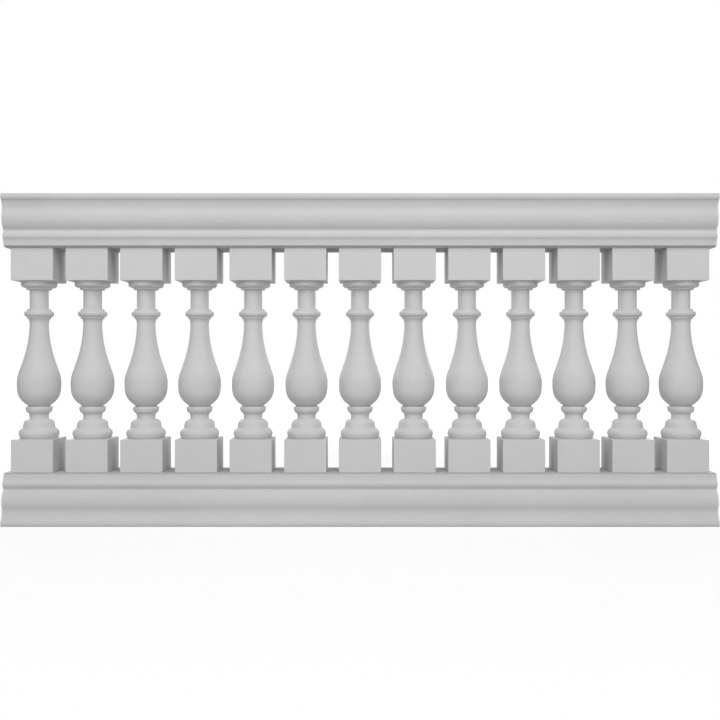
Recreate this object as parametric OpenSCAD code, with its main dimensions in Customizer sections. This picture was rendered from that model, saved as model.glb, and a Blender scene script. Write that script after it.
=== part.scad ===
// Fibreglass deck railing: one straight panel of balustrade.
//
// Turned balusters with square plinths stand between two moulded rails. Both rails come out of one
// mould, so the bottom rail is the top rail turned upside down. A rail is a fibreglass channel. Its
// mouth faces the balusters and is shut by a flat closing board, and a drilled plate shuts each end.
//
// Millimetres. X runs along the rails, Y through them and Z up. The origin is the middle of the
// underside of the bottom rail.

/* [Panel] */
// Length of both rails
panel_length = 2133.6; // [1750:0.1:3000]
// Height from the underside of the bottom rail to the top of the top rail
panel_height = 990.6; // [800:0.1:1300]
// Number of balusters, evenly spaced
baluster_count = 13; // [2:1:16]
// Distance from each end of the rails to the axis of the nearest baluster
end_margin = 81; // [64:0.1:200]

/* [Rail moulding] */
// Height of a rail
rail_height = 157.1; // [120:0.1:190]
// Width of the band beside the balusters, at its top
band_width = 155.2; // [142:0.1:190]
// Height of that band
band_height = 19; // [12:0.1:26]
// How far each side of the band leans in towards the mouth
band_lean = 2.9; // [0:0.1:5]
// Width over the bead
bead_width = 163.2; // [156:0.1:200]
// Height of the bead
bead_height = 23.5; // [12:0.1:35]
// Width of the groove between the bead and the ovolo
groove_width = 150.6; // [142:0.1:155]
// Height of that groove
groove_height = 5.5; // [1:0.1:12]
// Width over the ovolo
ovolo_width = 180.2; // [160:0.1:220]
// Height of the ovolo, from the groove to its widest line
ovolo_height = 37.4; // [22:0.1:55]
// Width of the cove under the lip
cove_width = 170.8; // [150:0.1:215]
// Height of the cove, from the widest line of the ovolo to the lip
cove_height = 47.5; // [30:0.1:60]
// Width over the lip
lip_width = 196.8; // [175:0.1:240]
// Height of the lip
lip_height = 20.2; // [10:0.1:30]
// How far the lip stands out from the cove at its foot
lip_step = 6.4; // [2:0.1:12]
// How far the upper arris of the lip leans in
lip_lean = 2.6; // [0:0.1:6]
// Thickness of the laminate
wall = 6.4; // [5.5:0.1:12]

/* [Closing boards and end plates] */
// Thickness of a closing board
board_thickness = 12; // [6:0.5:16]
// How far a closing board stands proud of the rail that it closes
board_proud = 4; // [0:0.1:5]
// Thickness of an end plate
plate_thickness = 12; // [6:0.5:25]
// Glue line beside a board and around a plate
glue_line = 0.3; // [0.1:0.1:0.8]
// Diameter of the bolt holes in an end plate
bolt_hole_d = 14; // [8:0.5:18]
// Distance between the two bolt holes of an end plate
bolt_spacing = 80; // [40:1:110]

/* [Baluster plinths] */
// Side of the square plinths
plinth_side = 127; // [105:0.1:130]
// Height of each plinth
plinth_height = 98.5; // [60:0.1:130]

/* [Baluster turning, from the lower plinth up] */
// Diameter at the foot of the torus, on the plinth
torus_foot_d = 107.3; // [85:0.1:118]
// Diameter of the torus
torus_d = 119.5; // [95:0.1:126]
// Height of the torus
torus_height = 32.4; // [20:0.1:45]
// Diameter to which the torus draws in at its top
torus_top_d = 95.4; // [70:0.1:115]
// Diameter of the band above the torus, at its top
base_band_d = 91.4; // [70:0.1:110]
// Height of the band
base_band_height = 12.3; // [5:0.1:20]
// Diameter to which the shoulder above the band is rounded over
shoulder_d = 56.5; // [45:0.1:69]
// Height of the shoulder
shoulder_height = 14.3; // [8:0.1:25]
// Diameter of the low neck
low_neck_d = 56.8; // [40:0.1:69]
// Height of the low neck
low_neck_height = 18.8; // [8:0.1:30]
// Diameter at the foot of the bead under the belly
low_bead_foot_d = 62.9; // [45:0.1:75]
// Diameter of the bead
low_bead_d = 79.8; // [62:0.1:95]
// Height of the bead
low_bead_height = 21; // [12:0.1:35]
// Diameter of the groove between the bead and the belly
belly_groove_d = 61; // [45:0.1:75]
// Largest diameter of the belly
belly_d = 130.1; // [115:0.1:150]
// Height from the groove to the widest line of the belly
belly_low_height = 74.2; // [40:0.1:90]
// Diameter where the curve turns hollow
turn_d = 114.4; // [80:0.1:125]
// Height from the widest line to where the curve turns hollow
belly_high_height = 35.7; // [25:0.1:75]
// Diameter of the slim neck
slim_neck_d = 55.8; // [40:0.1:59]
// Height of the hollow taper up to the slim neck
taper_height = 143.8; // [80:0.1:180]
// Diameter to which the slim neck flares under the ring
flare_top_d = 61.6; // [55:0.1:67]
// Height of the flare
flare_height = 13.5; // [8:0.1:35]
// Diameter of the rings below and above the astragal
ring_d = 70.3; // [60:0.1:80]
// Height of each ring
ring_height = 5.6; // [3:0.1:12]
// Diameter of the astragal
astragal_d = 87.8; // [75:0.1:105]
// Height of the astragal
astragal_height = 18; // [10:0.1:30]
// Diameter of the upper neck
upper_neck_d = 55.6; // [40:0.1:60]
// Height of the upper neck
upper_neck_height = 53.1; // [25:0.1:90]
// Diameter to which the cove under the collar opens
collar_cove_d = 57.3; // [54:0.1:70]
// Height of that cove
collar_cove_height = 6.4; // [3:0.1:12]
// Diameter of the step under the collar
collar_step_d = 75; // [66:0.1:90]
// Height of the step
collar_step_height = 5.8; // [2:0.1:9]
// Diameter of the collar under the upper plinth
collar_d = 105.6; // [92:0.1:125]
// Height of the collar
collar_height = 18.9; // [12:0.1:32]

/* [Hidden] */
$fn = 96;
// Straight steps in one curve of a moulding
curve_steps = 6;
// How far a cut runs past the face that it opens
cut_over = 1;
// How far the turning is let into each plinth, so that the two are one body
let_in = 5;

// Shares of a member's height that lie below its widest line
rail_bead_low_share = 0.43;
lip_low_share = 0.66;
torus_low_share = 0.5;
low_bead_low_share = 0.76;
astragal_low_share = 0.58;
// Share of the collar's height that is rounded, below its straight part
collar_round_share = 0.39;

// Bends of the curves. At 1 a curve is straight, and a larger bend keeps it upright for longer.
plain_bend = 2;
ovolo_bend = 2.5;
lip_step_bend = 1.8;
lip_bend = 3;
torus_bend = 2.4;
belly_low_bend = 3.5;
belly_high_bend = 1.8;
flare_bend = 1.3;
// The bend that carries the belly on into the taper without a kink
taper_bend = (belly_d - turn_d) * belly_high_bend / belly_high_height * taper_height / (turn_d - slim_neck_d);

// Half widths of the mouth of a rail, outside and inside
mouth_outside = band_width / 2 - band_lean;
mouth_inside = mouth_outside - wall;

baluster_height = panel_height - 2 * rail_height;
baluster_pitch = (panel_length - 2 * end_margin) / (baluster_count - 1);

white = "gainsboro";

function baluster_name(i) = str("baluster_", i < 10 ? "0" : "", i);

// ---- Curves of a moulding ----
// Each curve is a list of [half width, height] points from a to b. It leaves a out, because the curve
// below ends there.

// Leaves a upright and leans over towards b. A larger bend keeps it upright for longer.
function lean(a, b, bend) = [
    for (i = [1:curve_steps])
        let (s = i / curve_steps)
        [a.x + (b.x - a.x) * pow(s, bend), a.y + (b.y - a.y) * s]
];

// Leans away from a and arrives at b upright
function settle(a, b, bend) = [
    for (i = [1:curve_steps])
        let (s = i / curve_steps)
        [b.x + (a.x - b.x) * pow(1 - s, bend), a.y + (b.y - a.y) * s]
];

// An S that is upright at both ends
function wave(a, b) = [
    for (i = [1:curve_steps])
        let (s = i / curve_steps)
        [a.x + (b.x - a.x) * (1 - cos(180 * s)) / 2, a.y + (b.y - a.y) * s]
];

// A quarter of an ellipse, upright at a and level at b
function round_over(a, b) = [
    for (i = [1:curve_steps])
        let (t = 90 * i / curve_steps)
        [a.x + (b.x - a.x) * (1 - cos(t)), a.y + (b.y - a.y) * sin(t)]
];

// A quarter of an ellipse, level at a and upright at b
function round_out(a, b) = [
    for (i = [1:curve_steps])
        let (t = 90 * i / curve_steps)
        [a.x + (b.x - a.x) * sin(t), a.y + (b.y - a.y) * (1 - cos(t))]
];

// The sum of the first n heights of a list
function height_of(heights, n) = n == 0 ? 0 : heights[n - 1] + height_of(heights, n - 1);

// ---- Rails ----
// A rail is drawn as the top one, with its lip up. Height 0 is the face of its closing board, which stands
// proud of the rail's mouth.

rail_heights = [
    band_height,
    bead_height * rail_bead_low_share,
    bead_height * (1 - rail_bead_low_share),
    groove_height,
    ovolo_height,
    cove_height / 2,
    cove_height / 2,
    lip_height * lip_low_share,
    lip_height * (1 - lip_low_share)
];
rail_stretch = (rail_height - board_proud) / height_of(rail_heights, len(rail_heights));

function rail_level(n) = board_proud + rail_stretch * height_of(rail_heights, n);

// Half of the rail's outline from the top of the band to the top of the lip, moved in by inset
function rail_side(inset) =
    let (
        band = [band_width / 2 - inset, rail_level(1)],
        bead = [bead_width / 2 - inset, rail_level(2)],
        groove = [groove_width / 2 - inset, rail_level(3)],
        groove_top = [groove.x, rail_level(4)],
        ovolo = [ovolo_width / 2 - inset, rail_level(5)],
        cove = [cove_width / 2 - inset, rail_level(6)],
        foot = [lip_width / 2 - lip_step - inset, rail_level(7)],
        lip = [lip_width / 2 - inset, rail_level(8)],
        top = [lip_width / 2 - lip_lean - inset, rail_level(9)]
    )
    concat(
        [band],
        settle(band, bead, plain_bend),
        lean(bead, groove, plain_bend),
        [groove_top],
        settle(groove_top, ovolo, ovolo_bend),
        wave(ovolo, cove),
        lean(cove, foot, lip_step_bend),
        settle(foot, lip, lip_bend),
        lean(lip, top, plain_bend)
    );

// Half of the outside of a rail, from its mouth up
function rail_outside() =
    let (
        side = rail_side(0),
        mouth = [mouth_outside, board_proud]
    )
    concat([mouth], lean(mouth, side[0], plain_bend), side);

// Half of the inside of a rail, from one height up to the inner face of its top. It is upright beside the
// closing board, and above that it follows the outside. gap draws all of it in.
function rail_inside(from, gap) =
    let (
        ceiling = rail_height - wall - gap,
        beside_board = mouth_inside - gap,
        side = [for (p = rail_side(wall + gap)) if (p.y > board_thickness && p.y < ceiling) p],
        corner = [side[len(side) - 1].x, ceiling]
    )
    concat(
        [for (y = from < board_thickness ? [from, board_thickness] : [from]) [beside_board, y]],
        side,
        [corner]
    );

// A closed outline from its right-hand half
function both_halves(half) = concat(
    half,
    [for (i = [len(half) - 1:-1:0]) [-half[i].x, half[i].y]]
);

// Carries an outline along X
module along_rail(length) {
    rotate([90, 0, 90])
        linear_extrude(length, center = true)
            children();
}

module rail_channel() {
    along_rail(panel_length)
        difference() {
            polygon(both_halves(rail_outside()));
            polygon(both_halves(rail_inside(-cut_over, 0)));
        }
}

module closing_board() {
    half_width = mouth_inside - glue_line;
    translate([-panel_length / 2, -half_width, 0])
        cube([panel_length, 2 * half_width, board_thickness]);
}

// The plate that shuts one end of a rail. side is -1 for the left end and 1 for the right.
module end_plate(side) {
    bolt_level = (board_thickness + rail_height - wall) / 2;
    translate([side * (panel_length - plate_thickness) / 2, 0, 0])
        difference() {
            along_rail(plate_thickness)
                polygon(both_halves(rail_inside(board_thickness, glue_line)));
            for (across = [-bolt_spacing / 2, bolt_spacing / 2])
                translate([0, across, bolt_level])
                    rotate([0, 90, 0])
                        cylinder(h = plate_thickness + 2 * cut_over, d = bolt_hole_d, center = true);
        }
}

// Puts a rail's piece in the top rail
module in_top_rail() {
    translate([0, 0, panel_height - rail_height])
        children();
}

// Puts a rail's piece in the bottom rail, upside down
module in_bottom_rail() {
    translate([0, 0, rail_height])
        mirror([0, 0, 1])
            children();
}

module bottom_rail() {
    color(white) in_bottom_rail() rail_channel();
}

module bottom_closing_board() {
    color(white) in_bottom_rail() closing_board();
}

module bottom_left_end_plate() {
    color(white) in_bottom_rail() end_plate(-1);
}

module bottom_right_end_plate() {
    color(white) in_bottom_rail() end_plate(1);
}

module top_rail() {
    color(white) in_top_rail() rail_channel();
}

module top_closing_board() {
    color(white) in_top_rail() closing_board();
}

module top_left_end_plate() {
    color(white) in_top_rail() end_plate(-1);
}

module top_right_end_plate() {
    color(white) in_top_rail() end_plate(1);
}

// ---- Balusters ----

// Heights of the turned members, from the lower plinth up
turned_heights = [
    torus_height * torus_low_share,
    torus_height * (1 - torus_low_share),
    base_band_height,
    shoulder_height,
    low_neck_height / 2,
    low_neck_height / 2,
    low_bead_height * low_bead_low_share,
    low_bead_height * (1 - low_bead_low_share),
    belly_low_height,
    belly_high_height,
    taper_height,
    flare_height,
    ring_height,
    astragal_height * astragal_low_share,
    astragal_height * (1 - astragal_low_share),
    ring_height,
    upper_neck_height,
    collar_cove_height,
    collar_step_height,
    collar_height * collar_round_share,
    collar_height * (1 - collar_round_share)
];
turned_stretch = (baluster_height - 2 * plinth_height)
    / height_of(turned_heights, len(turned_heights));

// A point of the turning: a diameter at the top of its nth member
function turned(d, n) = [d / 2, plinth_height + turned_stretch * height_of(turned_heights, n)];

// Half of the turning's outline, let into both plinths
function turning() =
    let (
        torus_foot = turned(torus_foot_d, 0),
        torus = turned(torus_d, 1),
        torus_top = turned(torus_top_d, 2),
        base_band = turned(base_band_d, 3),
        shoulder = turned(shoulder_d, 4),
        low_neck = turned(low_neck_d, 5),
        bead_foot = turned(low_bead_foot_d, 6),
        bead = turned(low_bead_d, 7),
        groove = turned(belly_groove_d, 8),
        belly = turned(belly_d, 9),
        turn = turned(turn_d, 10),
        slim_neck = turned(slim_neck_d, 11),
        flare = turned(flare_top_d, 12),
        low_ring = turned(ring_d, 13),
        astragal = turned(astragal_d, 14),
        astragal_top = turned(ring_d, 15),
        high_ring = turned(ring_d, 16),
        upper_neck = turned(upper_neck_d, 17),
        collar_cove = turned(collar_cove_d, 18),
        step = turned(collar_step_d, 19),
        collar = turned(collar_d, 20),
        collar_top = turned(collar_d, 21)
    )
    concat(
        [[0, torus_foot.y - let_in], [torus_foot.x, torus_foot.y - let_in], torus_foot],
        settle(torus_foot, torus, plain_bend),
        lean(torus, torus_top, torus_bend),
        [base_band],
        round_over(base_band, shoulder),
        [low_neck],
        lean(low_neck, bead_foot, plain_bend),
        round_out(bead_foot, bead),
        round_over(bead, groove),
        settle(groove, belly, belly_low_bend),
        lean(belly, turn, belly_high_bend),
        settle(turn, slim_neck, taper_bend),
        lean(slim_neck, flare, flare_bend),
        [[low_ring.x, flare.y], low_ring],
        round_out(low_ring, astragal),
        round_over(astragal, astragal_top),
        [high_ring, [upper_neck.x, high_ring.y], upper_neck],
        lean(upper_neck, collar_cove, plain_bend),
        [[step.x, collar_cove.y], step],
        round_out(step, collar),
        [[collar_top.x, collar_top.y + let_in], [0, collar_top.y + let_in]]
    );

module plinth() {
    translate([-plinth_side / 2, -plinth_side / 2, 0])
        cube([plinth_side, plinth_side, plinth_height]);
}

// The ith baluster from the left, in its place between the rails
module baluster(i) {
    color(white)
        translate([end_margin - panel_length / 2 + (i - 1) * baluster_pitch, 0, rail_height]) {
            plinth();
            rotate_extrude() polygon(turning());
            translate([0, 0, baluster_height - plinth_height]) plinth();
        }
}

bottom_rail();
bottom_closing_board();
bottom_left_end_plate();
bottom_right_end_plate();
for (i = [1:baluster_count])
    baluster(i);
top_rail();
top_closing_board();
top_left_end_plate();
top_right_end_plate();
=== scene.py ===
"""The looks of one straight panel of fibreglass deck railing: thirteen turned balusters between two moulded rails.

Lengths are in metres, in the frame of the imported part: X runs along the rails, the front is on -Y and Z is up.
"""

import math

import bpy
import numpy as np
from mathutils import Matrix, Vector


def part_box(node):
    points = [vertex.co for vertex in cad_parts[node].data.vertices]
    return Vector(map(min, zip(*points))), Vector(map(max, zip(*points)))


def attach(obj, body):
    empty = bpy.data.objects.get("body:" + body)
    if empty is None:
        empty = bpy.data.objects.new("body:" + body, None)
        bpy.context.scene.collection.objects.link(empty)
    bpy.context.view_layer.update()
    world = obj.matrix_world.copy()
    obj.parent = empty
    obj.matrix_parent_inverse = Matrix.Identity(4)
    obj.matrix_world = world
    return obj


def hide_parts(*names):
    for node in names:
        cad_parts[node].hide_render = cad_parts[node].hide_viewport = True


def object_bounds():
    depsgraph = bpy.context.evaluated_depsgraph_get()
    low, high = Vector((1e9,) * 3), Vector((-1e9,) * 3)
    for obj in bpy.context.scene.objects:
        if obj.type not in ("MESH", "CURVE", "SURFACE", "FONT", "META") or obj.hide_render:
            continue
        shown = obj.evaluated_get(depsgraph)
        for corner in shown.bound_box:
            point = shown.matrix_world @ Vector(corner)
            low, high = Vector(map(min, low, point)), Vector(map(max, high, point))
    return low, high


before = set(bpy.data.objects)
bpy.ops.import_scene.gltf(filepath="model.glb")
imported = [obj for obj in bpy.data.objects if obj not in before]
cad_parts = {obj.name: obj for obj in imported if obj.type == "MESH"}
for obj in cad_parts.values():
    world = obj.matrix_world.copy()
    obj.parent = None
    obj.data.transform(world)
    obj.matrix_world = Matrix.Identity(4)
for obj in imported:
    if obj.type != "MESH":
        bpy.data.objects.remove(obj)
cad_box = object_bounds()


# ---- Bottom rail ----
# A fibreglass channel, laid up by hand in an open mould behind a sprayed gelcoat, and cut square at both ends.
# Its mouth faces up towards the balusters, and its broad lip stands on the deck.

rail_wall, board_thickness, board_proud = 0.0064, 0.012, 0.004
band_width, band_height, band_lean = 0.1552, 0.019, 0.0029
bead_width, bead_height, bead_low_share = 0.1632, 0.0235, 0.43
groove_width, groove_height = 0.1506, 0.0055
ovolo_width, ovolo_height, ovolo_bend = 0.1802, 0.0374, 2.5
cove_width, cove_height = 0.1708, 0.0475
lip_width, lip_height, lip_low_share = 0.1968, 0.0202, 0.66
lip_step, lip_step_bend, lip_bend, lip_lean = 0.0064, 1.8, 3, 0.0026
plain_bend = 2
mouth_outside = band_width / 2 - band_lean
mouth_inside = mouth_outside - rail_wall
# Each leg's foot slopes a little, and the gelcoat rounds each corner this far to either side
foot_width, foot_slope = 0.002, 0.0003
rail_easing = 0.001
# The sanded arris of a cut end, the straight steps in one curve and the shares into which the length is cut
cut_arris = 0.0006
curve_steps = 12
top_steps = 8
rail_spans = 14


def lean(a, b, bend):
    """Points from a to b, upright at a: the half width changes as the height's share to the power bend."""
    s = np.linspace(0, 1, curve_steps + 1)[1:, None]
    return np.hstack((a[0] + (b[0] - a[0]) * s**bend, a[1] + (b[1] - a[1]) * s))


def settle(a, b, bend):
    """Points from a to b, upright at b: the lean, taken from its other end."""
    s = np.linspace(0, 1, curve_steps + 1)[1:, None]
    return np.hstack((b[0] + (a[0] - b[0]) * (1 - s) ** bend, a[1] + (b[1] - a[1]) * s))


def wave(a, b):
    """Points from a to b along half a cosine, upright at both."""
    s = np.linspace(0, 1, curve_steps + 1)[1:, None]
    return np.hstack((a[0] + (b[0] - a[0]) * (1 - np.cos(np.pi * s)) / 2, a[1] + (b[1] - a[1]) * s))


def round_over(a, b):
    """A quarter of an ellipse from a to b, upright at a and level at b."""
    t = np.linspace(0, np.pi / 2, curve_steps + 1)[1:, None]
    return np.hstack((a[0] + (b[0] - a[0]) * (1 - np.cos(t)), a[1] + (b[1] - a[1]) * np.sin(t)))


def round_out(a, b):
    """A quarter of an ellipse from a to b, level at a and upright at b."""
    t = np.linspace(0, np.pi / 2, curve_steps + 1)[1:, None]
    return np.hstack((a[0] + (b[0] - a[0]) * np.sin(t), a[1] + (b[1] - a[1]) * (1 - np.cos(t))))


corner_angle, sharp_angle = math.radians(20), math.radians(40)


def eased(outline, reach):
    """The outline with its corners rounded, as gelcoat rounds them: each point becomes the mean of the points within
    reach of it along the outline. Points are added beside each corner, and the two ends stay."""
    steps = np.hypot(*np.diff(outline, axis=0).T)
    outline = outline[np.append(True, steps > 1e-7)]
    run = np.append(0, np.cumsum(np.hypot(*np.diff(outline, axis=0).T)))
    heading = np.unwrap(np.arctan2(*np.diff(outline, axis=0).T))
    corners = run[1:-1][np.abs(np.diff(heading)) > corner_angle]
    beside = (corners[:, None] + reach * np.linspace(-1, 1, 5)).ravel()
    places = np.unique(np.round(np.clip(np.concatenate((run, beside)), 0, run[-1]), 5))
    reach_here = np.minimum(reach, np.minimum(places, run[-1] - places))
    window = places[:, None] + reach_here[:, None] * np.linspace(-1, 1, 7)
    return np.stack([np.interp(window, run, column).mean(1) for column in outline.T], -1)


def loft(name, rings):
    """A closed skin over rings of points, an array of (ring, point, xyz). Quads join each point to the next one round
    its ring and to its like in the next ring. At each end, quads join the first half of the ring to the second."""
    count, size = rings.shape[:2]
    index = np.arange(count * size).reshape(count, size)
    onward = np.roll(index, -1, axis=1)
    sides = np.stack((index[:-1], onward[:-1], onward[1:], index[1:]), -1).reshape(-1, 4)
    pair = np.arange(size // 2 - 1)
    first_end = np.stack((pair, size - 1 - pair, size - 2 - pair, pair + 1), -1)
    last_end = first_end[:, ::-1] + (count - 1) * size
    mesh = bpy.data.meshes.new(name)
    mesh.from_pydata(rings.reshape(-1, 3), [], np.vstack((sides, first_end, last_end)))
    mesh.polygons.foreach_set("use_smooth", np.ones(len(mesh.polygons), bool))
    mesh.set_sharp_from_angle(angle=sharp_angle)
    piece = bpy.data.objects.new(name, mesh)
    bpy.context.scene.collection.objects.link(piece)
    piece.modifiers.new("even_normals", "WEIGHTED_NORMAL").keep_sharp = True
    return piece


def rail_half(height):
    """Half of a rail's outside in [half width, height above its mouth], from the leg's foot to the middle of the
    top: its members one on another, each a straight line or a curve, stretched together to the given height."""
    members = [band_height, bead_height * bead_low_share, bead_height * (1 - bead_low_share), groove_height,
               ovolo_height, cove_height / 2, cove_height / 2,
               lip_height * lip_low_share, lip_height * (1 - lip_low_share)]
    level = np.cumsum(members) * height / sum(members)
    foot, mouth = (mouth_outside - foot_width, 0), (mouth_outside, foot_slope)
    band, bead = (band_width / 2, level[0]), (bead_width / 2, level[1])
    groove, groove_top = (groove_width / 2, level[2]), (groove_width / 2, level[3])
    ovolo, cove = (ovolo_width / 2, level[4]), (cove_width / 2, level[5])
    lip_foot, lip = (lip_width / 2 - lip_step, level[6]), (lip_width / 2, level[7])
    top = (lip_width / 2 - lip_lean, level[8])
    curves = [[foot, mouth], lean(mouth, band, plain_bend), settle(band, bead, plain_bend),
              lean(bead, groove, plain_bend), [groove_top], settle(groove_top, ovolo, ovolo_bend),
              wave(ovolo, cove), lean(cove, lip_foot, lip_step_bend), settle(lip_foot, lip, lip_bend),
              lean(lip, top, plain_bend), np.linspace(top, (0, height), top_steps + 1)[1:]]
    return eased(np.vstack(curves), rail_easing)


def channel_inside(outside):
    """The inside that goes with a channel's outside, point for point: the same line moved in by the wall, upright
    beside the closing board and level under the ceiling."""
    ceiling = outside[:, 1].max() - rail_wall
    legs = outside[outside[:, 1] < ceiling] - (rail_wall, 0)
    beside_board = legs[:, 1] < board_thickness - board_proud
    legs[beside_board, 0] = mouth_inside
    corner = (legs[-1, 0], ceiling)
    return np.vstack((legs, np.linspace(corner, (0, ceiling), len(outside) - len(legs))))


def rail(name, mouth, top, length):
    """A moulded channel along X: its outline, out along the outside and back along the inside, carried from end to
    end. mouth and top are the heights of its open and its closed side. At the cut ends the outline draws in along a
    quarter circle, which is the sanded arris."""
    outside = rail_half(abs(top - mouth))
    inside = channel_inside(outside)
    both = [np.vstack((half, (half[:-1] * (-1, 1))[::-1])) for half in (outside, inside)]
    outline = np.vstack((both[0], both[1][::-1]))
    inward = np.vstack((both[1], both[0][::-1])) - outline
    inward /= np.hypot(*inward.T)[:, None]
    turn = np.linspace(0, np.pi / 2, 4)
    ends = length / 2 - cut_arris * (1 - np.sin(turn))
    drawn_in = cut_arris * (1 - np.cos(turn))
    stations = np.concatenate((-ends[::-1], np.linspace(-1, 1, rail_spans + 1)[1:-1] * ends[0], ends))
    drawn_in = np.concatenate((drawn_in[::-1], np.zeros(rail_spans - 1), drawn_in))
    section = outline + inward * drawn_in[:, None, None]
    across, up = section[..., 0], mouth + np.sign(top - mouth) * section[..., 1]
    along = np.broadcast_to(stations[:, None], across.shape)
    rings = np.stack((along, across, up), -1)
    piece = loft(name, rings if top > mouth else rings[:, ::-1])
    depth = np.repeat((0.0, 1.0) if top > mouth else (1.0, 0.0), len(outline) // 2)
    attribute = piece.data.attributes.new("depth", "FLOAT", "POINT")
    attribute.data.foreach_set("value", np.tile(depth, len(rings)))
    return piece


class Wire:
    """A socket in a material's nodes. Sums, differences and products of wires and numbers add Math nodes."""

    def __init__(self, tree, socket):
        self.tree = tree
        self.socket = socket

    def node(self, kind, settings, sockets, output=0):
        """Adds a node beside this one: its settings first, then the values or links of its sockets."""
        made = self.tree.nodes.new(kind)
        for name, value in settings.items():
            setattr(made, name, value)
        for name, value in sockets.items():
            if isinstance(value, Wire):
                self.tree.links.new(value.socket, made.inputs[name])
            else:
                made.inputs[name].default_value = value
        return Wire(self.tree, made.outputs[output])

    def math(self, operation, *values):
        return self.node("ShaderNodeMath", {"operation": operation}, dict(enumerate((self, *values))))

    def __add__(self, other):
        return self.math("ADD", other)

    def __sub__(self, other):
        return self.math("SUBTRACT", other)

    def __rsub__(self, other):
        return self * -1 + other

    def __mul__(self, other):
        return self.math("MULTIPLY", other)

    __radd__ = __add__
    __rmul__ = __mul__

    def axis(self, name):
        """One coordinate of a place."""
        return self.node("ShaderNodeSeparateXYZ", {}, {0: self}, output=name)

    def between(self, low, high):
        """0 up to low, 1 from high on, and a smooth rise in between."""
        return self.node("ShaderNodeMapRange", {"interpolation_type": "SMOOTHSTEP"},
                         {"Value": self, "From Min": low, "From Max": high})

    def wave(self, length):
        """A sine from -1 to 1 with this wave length."""
        return (self * (2 * math.pi / length)).math("SINE")

    def grain(self, size, detail=2.0):
        """Smooth noise from 0 to 1 round a place, with lumps of about this size."""
        return self.node("ShaderNodeTexNoise", {}, {"Vector": self, "Scale": 0.5 / size, "Detail": detail})

    def mix(self, first, second):
        """The colour first where this wire is 0 and second where it is 1."""
        return self.node("ShaderNodeMix", {"data_type": "RGBA"}, {"Factor": self, 6: first, 7: second}, output=2)


def new_finish(name):
    """An empty material, and the place on the piece as a wire."""
    material = bpy.data.materials.new(name)
    material.use_nodes = True
    tree = material.node_tree
    return material, Wire(tree, tree.nodes.new("ShaderNodeTexCoord").outputs["Object"])


def dress(material, colour, roughness, relief):
    """Gives a material its colour, its roughness and its relief, which is a height in metres."""
    shader = material.node_tree.nodes["Principled BSDF"]
    normal = relief.node("ShaderNodeBump", {}, {"Strength": 1, "Distance": 1, "Height": relief})
    for name, wire in (("Base Color", colour), ("Roughness", roughness), ("Normal", normal)):
        material.node_tree.links.new(wire.socket, shader.inputs[name])
    shader.inputs["Specular IOR Level"].default_value = 0.2


rail_light, rail_dark = (0.67, 0.67, 0.67, 1), (0.57, 0.57, 0.57, 1)
ply_light, ply_dark = (0.56, 0.56, 0.54, 1), (0.42, 0.42, 0.40, 1)


def gelcoat(place):
    """The shade, roughness and relief of sprayed gelcoat: faint clouds in the pigment, a few pinholes, the slight
    waviness of the mould and the print of the glass mat behind."""
    cloud = place.grain(0.12, 3)
    mat_print = place.grain(0.006, 3)
    pinholes = place.grain(0.0012, 1).between(0.7, 0.76)
    shade = cloud * 0.7 + mat_print * 0.35 + pinholes * 0.6 - 0.1
    roughness = 0.48 + cloud * 0.1 + place.grain(0.015, 4) * 0.12 + pinholes * 0.1
    relief = place.grain(0.03) * 0.0001 + mat_print * 0.00006 - pinholes * 0.00006
    return shade, roughness, relief


def sawn_edge(place, ply):
    """The shade and relief where laminate is sawn through: torn layers of glass and resin, a new one at each whole
    number of ply."""
    layers = (ply + place.grain(0.004, 3) * 0.8).wave(1)
    frayed = place.grain(0.0008, 1)
    return layers * 0.3 + frayed * 0.9, layers * 0.00003 + frayed * 0.00006


def channel_finish(name):
    """Gelcoat, and the bare laminate where the wall is sawn through. The piece's own depth runs from 0 on the outside
    of the wall to 1 on its inside."""
    material, place = new_finish(name)
    depth = place.node("ShaderNodeAttribute", {"attribute_name": "depth"}, {}, output="Fac")
    bare = depth.between(0.08, 0.1)
    shade, roughness, relief = gelcoat(place)
    edge_shade, edge_relief = sawn_edge(place, depth * 6)
    colour = bare.mix(shade.mix(rail_light, rail_dark), edge_shade.mix(ply_light, ply_dark))
    dress(material, colour, roughness + bare * 0.25, relief + bare * edge_relief)
    return material


rail_finish = channel_finish("rail_gelcoat")
low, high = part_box("bottom_rail")
bottom_rail = rail("bottom_rail_moulding", high.z, low.z, high.x - low.x)
bottom_rail.data.materials.append(rail_finish)
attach(bottom_rail, "root")
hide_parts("bottom_rail")


# ---- Closing boards ----
# Flat sheet of woven glass and resin, pressed between plates and painted to match the rails, though its grey
# here is darker than theirs: painted shade, for the shade between the plinths and under the rails. Each is glued
# in between the legs of its rail, a little proud of them.

weave_pitch = 0.006
board_ply = 0.0015
# Painted shade: the board's grey is set darker than the rails' gelcoat, for the shade that falls on it between the
# plinths and under the rails
shaded_board_light, shaded_board_dark = (0.55, 0.55, 0.55, 1), (0.50, 0.50, 0.50, 1)


def board_laminate(name, half_length):
    """Painted sheet through which the weave shows faintly, and its plies at both sawn ends."""
    material, place = new_finish(name)
    end = place.axis("X").math("ABSOLUTE").between(half_length - 0.0003, half_length - 0.0001)
    weave = place.axis("X").wave(weave_pitch) * place.axis("Y").wave(weave_pitch)
    blotches = place.grain(0.02, 4)
    edge_shade, edge_relief = sawn_edge(place, place.axis("Z") * (1 / board_ply))
    shade = blotches * 0.8 + weave * 0.15
    colour = end.mix(shade.mix(shaded_board_light, shaded_board_dark), edge_shade.mix(ply_light, ply_dark))
    dress(material, colour, 0.6 + blotches * 0.15 + end * 0.15, weave * 0.00003 + end * edge_relief)
    return material


board_finish = board_laminate("board_laminate", (high.x - low.x) / 2)
for node in ("bottom_closing_board", "top_closing_board"):
    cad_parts[node].data.materials.clear()
    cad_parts[node].data.materials.append(board_finish)


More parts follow.
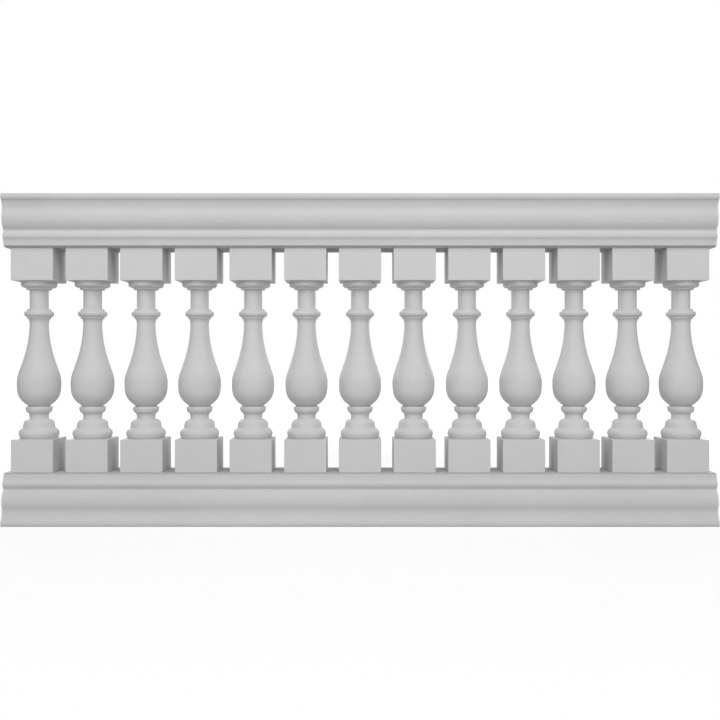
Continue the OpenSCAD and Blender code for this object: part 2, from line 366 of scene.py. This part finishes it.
# ---- End plates ----
# Thick laminate cut to the inside of the rail and drilled for two bolts, sanded flat and sealed with resin. Each is
# bonded in flush with a cut end of its rail.

plate_light, plate_dark = (0.60, 0.60, 0.59, 1), (0.50, 0.50, 0.49, 1)


def plate_laminate(name):
    """Sanded laminate: the chopped strands of its mat show as pale flecks, and the sander leaves fine straight
    marks."""
    material, place = new_finish(name)
    strands = place.grain(0.003, 3).between(0.4, 0.62)
    across = place.node("ShaderNodeVectorMath", {"operation": "MULTIPLY"}, {0: place, 1: (1, 0.05, 1)})
    marks = across.grain(0.0006, 1)
    shade = 0.9 - strands * 0.7 + marks * 0.2
    dress(material, shade.mix(plate_light, plate_dark), 0.62 + strands * 0.12, strands * 0.00002 + marks * 0.00002)
    return material


plate_finish = plate_laminate("plate_laminate")
for node in ("bottom_left_end_plate", "bottom_right_end_plate", "top_left_end_plate", "top_right_end_plate"):
    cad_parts[node].data.materials.clear()
    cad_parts[node].data.materials.append(plate_finish)


# ---- Balusters ----
# Each is two hollow half mouldings of gelcoat and glass, joined down both sides, where the flash is sanded off. Its
# square plinths are bonded to the closing boards of the two rails.

plinth_side, plinth_height = 0.127, 0.0985
plinth_corner, plinth_arris = 0.0016, 0.0012
torus_d, torus_foot_d, torus_top_d = 0.1195, 0.1073, 0.0954
torus_height, torus_low_share, torus_bend = 0.0324, 0.5, 2.4
base_band_d, base_band_height = 0.0914, 0.0123
shoulder_d, shoulder_height = 0.0565, 0.0143
low_neck_d, low_neck_height = 0.0568, 0.0188
low_bead_d, low_bead_foot_d, low_bead_height, low_bead_low_share = 0.0798, 0.0629, 0.021, 0.76
belly_groove_d, belly_d, turn_d = 0.061, 0.1301, 0.1144
belly_low_height, belly_low_bend = 0.0742, 3.5
belly_high_height, belly_high_bend = 0.0357, 1.8
taper_height, slim_neck_d = 0.1438, 0.0558
flare_top_d, flare_height, flare_bend = 0.0616, 0.0135, 1.3
ring_d, ring_height = 0.0703, 0.0056
astragal_d, astragal_height, astragal_low_share = 0.0878, 0.018, 0.58
upper_neck_d, upper_neck_height = 0.0556, 0.0531
collar_cove_d, collar_cove_height = 0.0573, 0.0064
collar_step_d, collar_step_height = 0.075, 0.0058
collar_d, collar_height, collar_round_share = 0.1056, 0.0189, 0.39
round_count = 96
corner_steps = 4
turning_easing = 0.0008


def square_ring():
    """The points round a square with round corners, as (core, out): a point is core times the half side less the
    corner's radius, plus out times the radius."""
    side_steps = round_count // 4 - corner_steps
    t = np.linspace(-1, 1, side_steps + 1)[:-1]
    turn = np.arange(corner_steps) * np.pi / 2 / corner_steps
    core = np.concatenate((1 + 1j * t, np.full(corner_steps, 1 + 1j)))
    out = np.concatenate((np.ones(side_steps), np.exp(1j * turn)))
    quarters = 1j ** np.arange(4)[:, None]
    return (quarters * core).ravel(), (quarters * out).ravel()


def turned_half(foot, head):
    """Half of the turning's outline in [radius, height], from the lower plinth at foot to the upper one at head."""
    members = [torus_height * torus_low_share, torus_height * (1 - torus_low_share), base_band_height,
               shoulder_height, low_neck_height / 2, low_neck_height / 2,
               low_bead_height * low_bead_low_share, low_bead_height * (1 - low_bead_low_share),
               belly_low_height, belly_high_height, taper_height, flare_height, ring_height,
               astragal_height * astragal_low_share, astragal_height * (1 - astragal_low_share), ring_height,
               upper_neck_height, collar_cove_height, collar_step_height,
               collar_height * collar_round_share, collar_height * (1 - collar_round_share)]
    level = foot + np.append(0, np.cumsum(members)) * (head - foot) / sum(members)
    torus_foot, torus, torus_top = (torus_foot_d / 2, level[0]), (torus_d / 2, level[1]), (torus_top_d / 2, level[2])
    base_band = (base_band_d / 2, level[3])
    shoulder, low_neck = (shoulder_d / 2, level[4]), (low_neck_d / 2, level[5])
    bead_foot, bead = (low_bead_foot_d / 2, level[6]), (low_bead_d / 2, level[7])
    groove, belly, turn = (belly_groove_d / 2, level[8]), (belly_d / 2, level[9]), (turn_d / 2, level[10])
    slim_neck, flare = (slim_neck_d / 2, level[11]), (flare_top_d / 2, level[12])
    ring_foot, low_ring = (ring_d / 2, level[12]), (ring_d / 2, level[13])
    astragal, astragal_top = (astragal_d / 2, level[14]), (ring_d / 2, level[15])
    high_ring, neck_foot = (ring_d / 2, level[16]), (upper_neck_d / 2, level[16])
    upper_neck, cove = (upper_neck_d / 2, level[17]), (collar_cove_d / 2, level[18])
    step_foot, step = (collar_step_d / 2, level[18]), (collar_step_d / 2, level[19])
    collar, collar_top = (collar_d / 2, level[20]), (collar_d / 2, level[21])
    # The bend that carries the belly on into the taper without a kink
    taper_bend = ((belly_d - turn_d) * belly_high_bend / belly_high_height
                  * taper_height / (turn_d - slim_neck_d))
    curves = [[torus_foot], settle(torus_foot, torus, plain_bend), lean(torus, torus_top, torus_bend), [base_band],
              round_over(base_band, shoulder), [low_neck], lean(low_neck, bead_foot, plain_bend),
              round_out(bead_foot, bead), round_over(bead, groove), settle(groove, belly, belly_low_bend),
              lean(belly, turn, belly_high_bend), settle(turn, slim_neck, taper_bend),
              lean(slim_neck, flare, flare_bend), [ring_foot, low_ring], round_out(low_ring, astragal),
              round_over(astragal, astragal_top), [high_ring, neck_foot, upper_neck],
              lean(upper_neck, cove, plain_bend), [step_foot, step], round_out(step, collar), [collar_top]]
    return eased(np.vstack(curves), turning_easing)


def baluster(name, node):
    """A baluster round its own axis, ring by ring: squares with rounded corners for the plinths, which draw in along
    a quarter circle at each arris, and a circle for each point of the turning's outline."""
    low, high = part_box(node)
    middle = (low + high) / 2
    core, out = square_ring()
    even = np.exp(1j * 2 * np.pi * (np.arange(round_count) - (round_count // 4 - corner_steps) / 2) / round_count)
    turn = np.linspace(0, np.pi / 2, 4)
    radius = plinth_corner - plinth_arris * (1 - np.sin(turn))
    rise = plinth_arris * (1 - np.cos(turn))
    plinth_radius = np.concatenate((radius, radius[::-1]))
    plinth_rise = np.concatenate((rise, plinth_height - rise[::-1]))
    square = core * (plinth_side / 2 - plinth_corner) + out * plinth_radius[:, None]
    turned = turned_half(low.z + plinth_height, high.z - plinth_height)
    plan = np.vstack((square, even * turned[:, :1], square))
    up = np.concatenate((low.z + plinth_rise, turned[:, 1], high.z - plinth_height + plinth_rise))
    up = np.broadcast_to(up[:, None], plan.shape)
    return loft(name, np.stack((middle.x + plan.real, middle.y + plan.imag, up), -1))


# Painted light: the balusters' gelcoat is set lighter than the rails', though it is the same gelcoat, for light that
# the lamps give the rails more than the balusters
lit_baluster_light, lit_baluster_dark = (0.70, 0.70, 0.70, 1), (0.60, 0.60, 0.60, 1)


def moulded_finish(name):
    """Gelcoat with the parting line of the two halves along its sides, where y is 0: a hair of flash, and a band round
    it that is dulled by sanding."""
    material, place = new_finish(name)
    off_line = place.axis("Y").math("ABSOLUTE")
    flash = 1 - off_line.between(0.0002, 0.0006)
    sanded = 1 - off_line.between(0.003, 0.007)
    shade, roughness, relief = gelcoat(place)
    colour = (shade + flash * 0.5 + sanded * 0.1).mix(lit_baluster_light, lit_baluster_dark)
    dress(material, colour, roughness + sanded * 0.12, relief + flash * 0.00006)
    return material


baluster_finish = moulded_finish("baluster_gelcoat")
baluster_nodes = [n for n in sorted(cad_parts) if n.startswith("baluster_")]
for node in baluster_nodes:
    piece = baluster(node + "_moulding", node)
    piece.data.materials.append(baluster_finish)
    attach(piece, "root")
    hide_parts(node)


# ---- Top rail ----
# The same moulding as the bottom rail, the other way up: its mouth faces down on the balusters, and its broad lip
# makes the handrail.

low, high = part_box("top_rail")
top_rail = rail("top_rail_moulding", low.z, high.z, high.x - low.x)
top_rail.data.materials.append(rail_finish)
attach(top_rail, "root")
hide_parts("top_rail")


# ---- Studio ----
# The panel is seen straight on and level with its middle. Two pairs of soft lamps light it from the front and one
# from behind, on a pale floor that runs out to white.

camera_distance = 2.766
camera_data = bpy.data.cameras.new("camera")
camera_data.lens = 45
camera = bpy.data.objects.new("camera", camera_data)
camera.location = (0, -camera_distance, (cad_box[0].z + cad_box[1].z) / 2)
camera.rotation_euler = (math.radians(90), 0, 0)
bpy.context.scene.collection.objects.link(camera)
bpy.context.scene.camera = camera
bpy.context.scene.view_settings.view_transform = "Standard"

world = bpy.data.worlds.new("studio")
world.use_nodes = True
bpy.context.scene.world = world
background = world.node_tree.nodes["Background"]
background.inputs["Color"].default_value = (1, 1, 1, 1)


def backdrop_share(tree):
    """1 for a ray that shows the backdrop, straight from the camera or in a reflection or through glass, else 0."""
    paths = tree.nodes.new("ShaderNodeLightPath")
    camera_ray, glossy_ray, clear_ray = (
        Wire(tree, paths.outputs[f"Is {kind} Ray"]) for kind in ("Camera", "Glossy", "Transmission"))
    return camera_ray + glossy_ray + clear_ray


sky_level = 0.235
strength = sky_level + (1 - sky_level) * backdrop_share(world.node_tree)
world.node_tree.links.new(strength.socket, background.inputs["Strength"])

# Each pair of lamps: its angle from the front, its rise, its distance, its width, and how bright one lamp alone
# makes a white face turned towards it
lamp_pairs = (("high_lamp", 20, 46, 4.5, 2.4, 0.213), ("low_lamp", 25, 20, 4.5, 2.4, 0.147),
              ("back_lamp", 140, 12, 3, 1, 0.233))
for name, azimuth, elevation, distance, width, level in lamp_pairs:
    for side in (-1, 1):
        lamp_data = bpy.data.lights.new(name, "AREA")
        lamp_data.shape = "DISK"
        lamp_data.size = width
        lamp_data.energy = (math.pi * distance) ** 2 * level
        lamp = bpy.data.objects.new(name, lamp_data)
        turn, rise = math.radians(azimuth) * side, math.radians(elevation)
        lamp.rotation_euler = (math.radians(90) - rise, 0, turn)
        lamp.location = (distance * math.cos(rise) * math.sin(turn), -distance * math.cos(rise) * math.cos(turn),
                         camera.location.z + distance * math.sin(rise))
        lamp.visible_camera = False
        bpy.context.scene.collection.objects.link(lamp)

floor_reach = 60
floor_mesh = bpy.data.meshes.new("floor")
floor_mesh.from_pydata([(x * floor_reach, y * floor_reach, 0) for x, y in ((-1, -1), (1, -1), (1, 1), (-1, 1))],
                       [], [(0, 1, 2, 3)])
floor = bpy.data.objects.new("floor", floor_mesh)
bpy.context.scene.collection.objects.link(floor)
floor_finish, floor_place = new_finish("pale_floor")
floor_shader = floor_finish.node_tree.nodes["Principled BSDF"]
floor_shader.inputs["Base Color"].default_value = (0.65, 0.65, 0.65, 1)
floor_shader.inputs["Roughness"].default_value = 1
floor_shader.inputs["Specular IOR Level"].default_value = 0
distance = floor_place.node("ShaderNodeVectorMath", {"operation": "LENGTH"}, {0: floor_place}, output="Value")
lit_share = 0.3 * (1 - distance.between(1.5, 4))
lit = Wire(floor_place.tree, floor_shader.outputs[0])
white = floor_place.node("ShaderNodeEmission", {}, {"Color": (1, 1, 1, 1), "Strength": 1.18})
shown = floor_place.node("ShaderNodeMixShader", {},
                         {0: backdrop_share(floor_place.tree) * (1 - lit_share), 1: lit, 2: white})
floor_finish.node_tree.links.new(shown.socket, floor_finish.node_tree.nodes["Material Output"].inputs["Surface"])
floor.data.materials.append(floor_finish)
